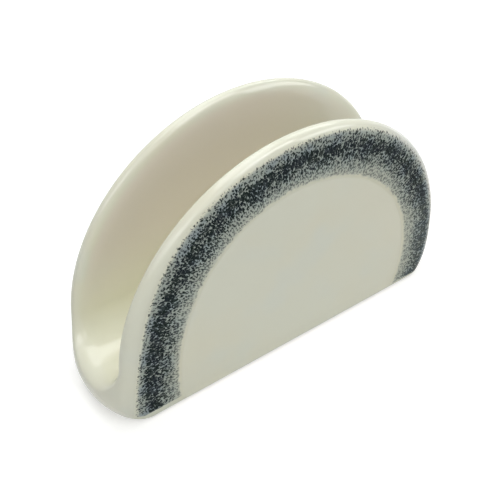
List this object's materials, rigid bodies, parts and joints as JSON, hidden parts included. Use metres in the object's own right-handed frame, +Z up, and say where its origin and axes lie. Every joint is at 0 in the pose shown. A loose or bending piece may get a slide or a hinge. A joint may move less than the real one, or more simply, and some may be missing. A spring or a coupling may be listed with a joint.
{
  "type": "napkin holder",
  "caption": "Upright ceramic napkin holder: round-topped leaves on a thick base with an open-ended slot between them and a sponged blue-black band round each outer face.",
  "frame": {"origin": "middle of the foot, on the table", "axes": "+Z up, +X along the leaves to the right as seen from the front, -Y towards the front face"},
  "size_m": [0.1494, 0.0386, 0.0921],
  "materials": {
    "fired_clay": "matt",
    "cream_glaze": "gloss",
    "sponged_colour": "gloss"
  },
  "bodies": {
    "root": {"clay_body": "fired_clay", "glaze_coat": "cream_glaze", "front_band": "sponged_colour", "rear_band": "sponged_colour"}
  },
  "joints": []
}
